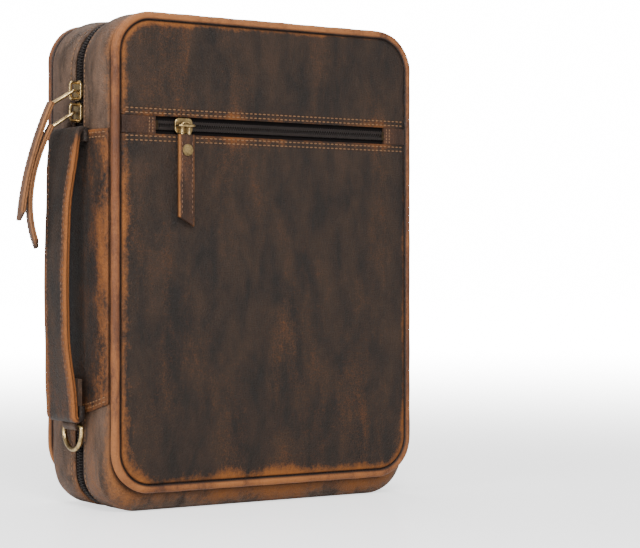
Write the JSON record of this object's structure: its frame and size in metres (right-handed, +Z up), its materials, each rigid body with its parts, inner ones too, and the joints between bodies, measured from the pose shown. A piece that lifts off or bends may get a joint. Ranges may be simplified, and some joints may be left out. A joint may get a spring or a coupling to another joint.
{
  "type": "zipped bible case with bible",
  "caption": "Zipped leather case standing upright round a closed book, with a spine handle, ring, front zip pocket and leather zip pulls.",
  "frame": {"origin": "on the standing surface, under the middle of the closed case's width and depth", "axes": "+Z up along the case's height; the front panel faces -Y; the spine with its handle faces -X"},
  "size_m": [0.2187, 0.0817, 0.255],
  "materials": {
    "dark_leather": "waxed, worn",
    "gusset_leather": "waxed, worn",
    "edge_leather": "waxed, rubbed to tan",
    "strap_leather": "waxed, worn",
    "pull_leather": "waxed, rubbed",
    "lining_fabric": "woven lining",
    "zip_tape": "woven tape",
    "zip_coil": "nylon coil",
    "brass": "antiqued",
    "stiff_board": "pressed fibre board",
    "book_cover": "grained",
    "paper": "thin book paper",
    "band_thread": "woven band"
  },
  "bodies": {
    "case_back": {"rear_panel": "dark_leather", "rear_board": "stiff_board", "rear_lining": "lining_fabric", "rear_piping": "edge_leather", "rear_gusset": "gusset_leather", "rear_gusset_lining": "lining_fabric", "rear_zip_tape": "zip_tape", "rear_zip_coil": "zip_coil", "spine_gusset": "gusset_leather", "spine_gusset_lining": "lining_fabric", "spine_zip_tape": "zip_tape", "spine_zip_coil": "zip_coil", "main_zip_stops": "brass", "spine_stiffener": "stiff_board", "spine_lining": "lining_fabric", "spine_panel": "dark_leather", "handle_strap": "strap_leather", "handle_filler": "strap_leather", "handle_lining": "strap_leather", "ring_chape": "gusset_leather", "rear_sleeve": "lining_fabric", "book_back_cover": "book_cover", "book_spine": "book_cover", "text_block": "paper", "book_endbands": "band_thread"},
    "case_front": {"front_panel_upper": "dark_leather", "front_panel_lower": "dark_leather", "pocket_end_tabs": "edge_leather", "pocket_zip_tape": "zip_tape", "pocket_zip_coil": "zip_coil", "pocket_zip_stops": "brass", "pocket_bag": "lining_fabric", "front_board": "stiff_board", "front_lining": "lining_fabric", "front_piping": "edge_leather", "front_gusset": "gusset_leather", "front_gusset_lining": "lining_fabric", "front_zip_tape": "zip_tape", "front_zip_coil": "zip_coil", "front_sleeve": "lining_fabric"},
    "d_ring": {"d_ring": "brass"},
    "upper_slider": {"upper_slider": "brass"},
    "upper_puller": {"upper_link": "brass", "upper_pull": "pull_leather"},
    "lower_slider": {"lower_slider": "brass"},
    "lower_puller": {"lower_link": "brass", "lower_pull": "pull_leather"},
    "pocket_slider": {"pocket_slider": "brass"},
    "pocket_puller": {"pocket_link": "brass", "pocket_pull": "pull_leather", "pocket_rivet": "brass"},
    "book_front_cover": {"book_front_cover": "book_cover"},
    "page_section": {"page_section": "paper"}
  },
  "joints": [
    {"name": "case_opening", "type": "hinge", "parent": "case_back", "child": "case_front", "pos_m": [-0.0906, -0.0356, 0.1325], "axis": [0, 0, -1], "range_deg": [0, 165]},
    {"name": "book_cover_opening", "type": "hinge", "parent": "case_back", "child": "book_front_cover", "pos_m": [-0.0849, -0.0284, 0.1325], "axis": [0, 0, -1], "range_deg": [0, 100]},
    {"name": "pages_turning", "type": "hinge", "parent": "case_back", "child": "page_section", "pos_m": [-0.0859, -0.0268, 0.1325], "axis": [0, 0, -1], "range_deg": [0, 60]},
    {"name": "d_ring_swing", "type": "hinge", "parent": "case_back", "child": "d_ring", "pos_m": [-0.09635, 0, 0.0436], "axis": [0, 1, 0], "range_deg": [-4, 85]},
    {"name": "upper_slider_travel", "type": "slide", "parent": "case_back", "child": "upper_slider", "axis": [0, 0, 1], "range_m": [0, 0.005]},
    {"name": "upper_pull_swing", "type": "hinge", "parent": "upper_slider", "child": "upper_puller", "pos_m": [-0.0961, 0, 0.2162], "axis": [0.2079, 0.9781, 0], "range_deg": [0, 75]},
    {"name": "lower_slider_travel", "type": "slide", "parent": "case_back", "child": "lower_slider", "axis": [0, 0, 1], "range_m": [-0.0016, 0]},
    {"name": "lower_pull_swing", "type": "hinge", "parent": "lower_slider", "child": "lower_puller", "pos_m": [-0.0961, 0, 0.2048], "axis": [0.2756, 0.9613, 0], "range_deg": [0, 75]},
    {"name": "pocket_slider_travel", "type": "slide", "parent": "case_front", "child": "pocket_slider", "axis": [1, 0, 0], "range_m": [0, 0.115]},
    {"name": "pocket_pull_swing", "type": "hinge", "parent": "pocket_slider", "child": "pocket_puller", "pos_m": [-0.053, -0.04295, 0.1973], "axis": [-1, 0, 0], "range_deg": [0, 150]}
  ],
  "couplings": [
    {"joint": "book_cover_opening", "follows": "case_opening", "ratio": 0.6},
    {"joint": "pages_turning", "follows": "case_opening", "ratio": 0.35},
    {"joint": "lower_pull_swing", "follows": "upper_pull_swing", "ratio": 1}
  ]
}
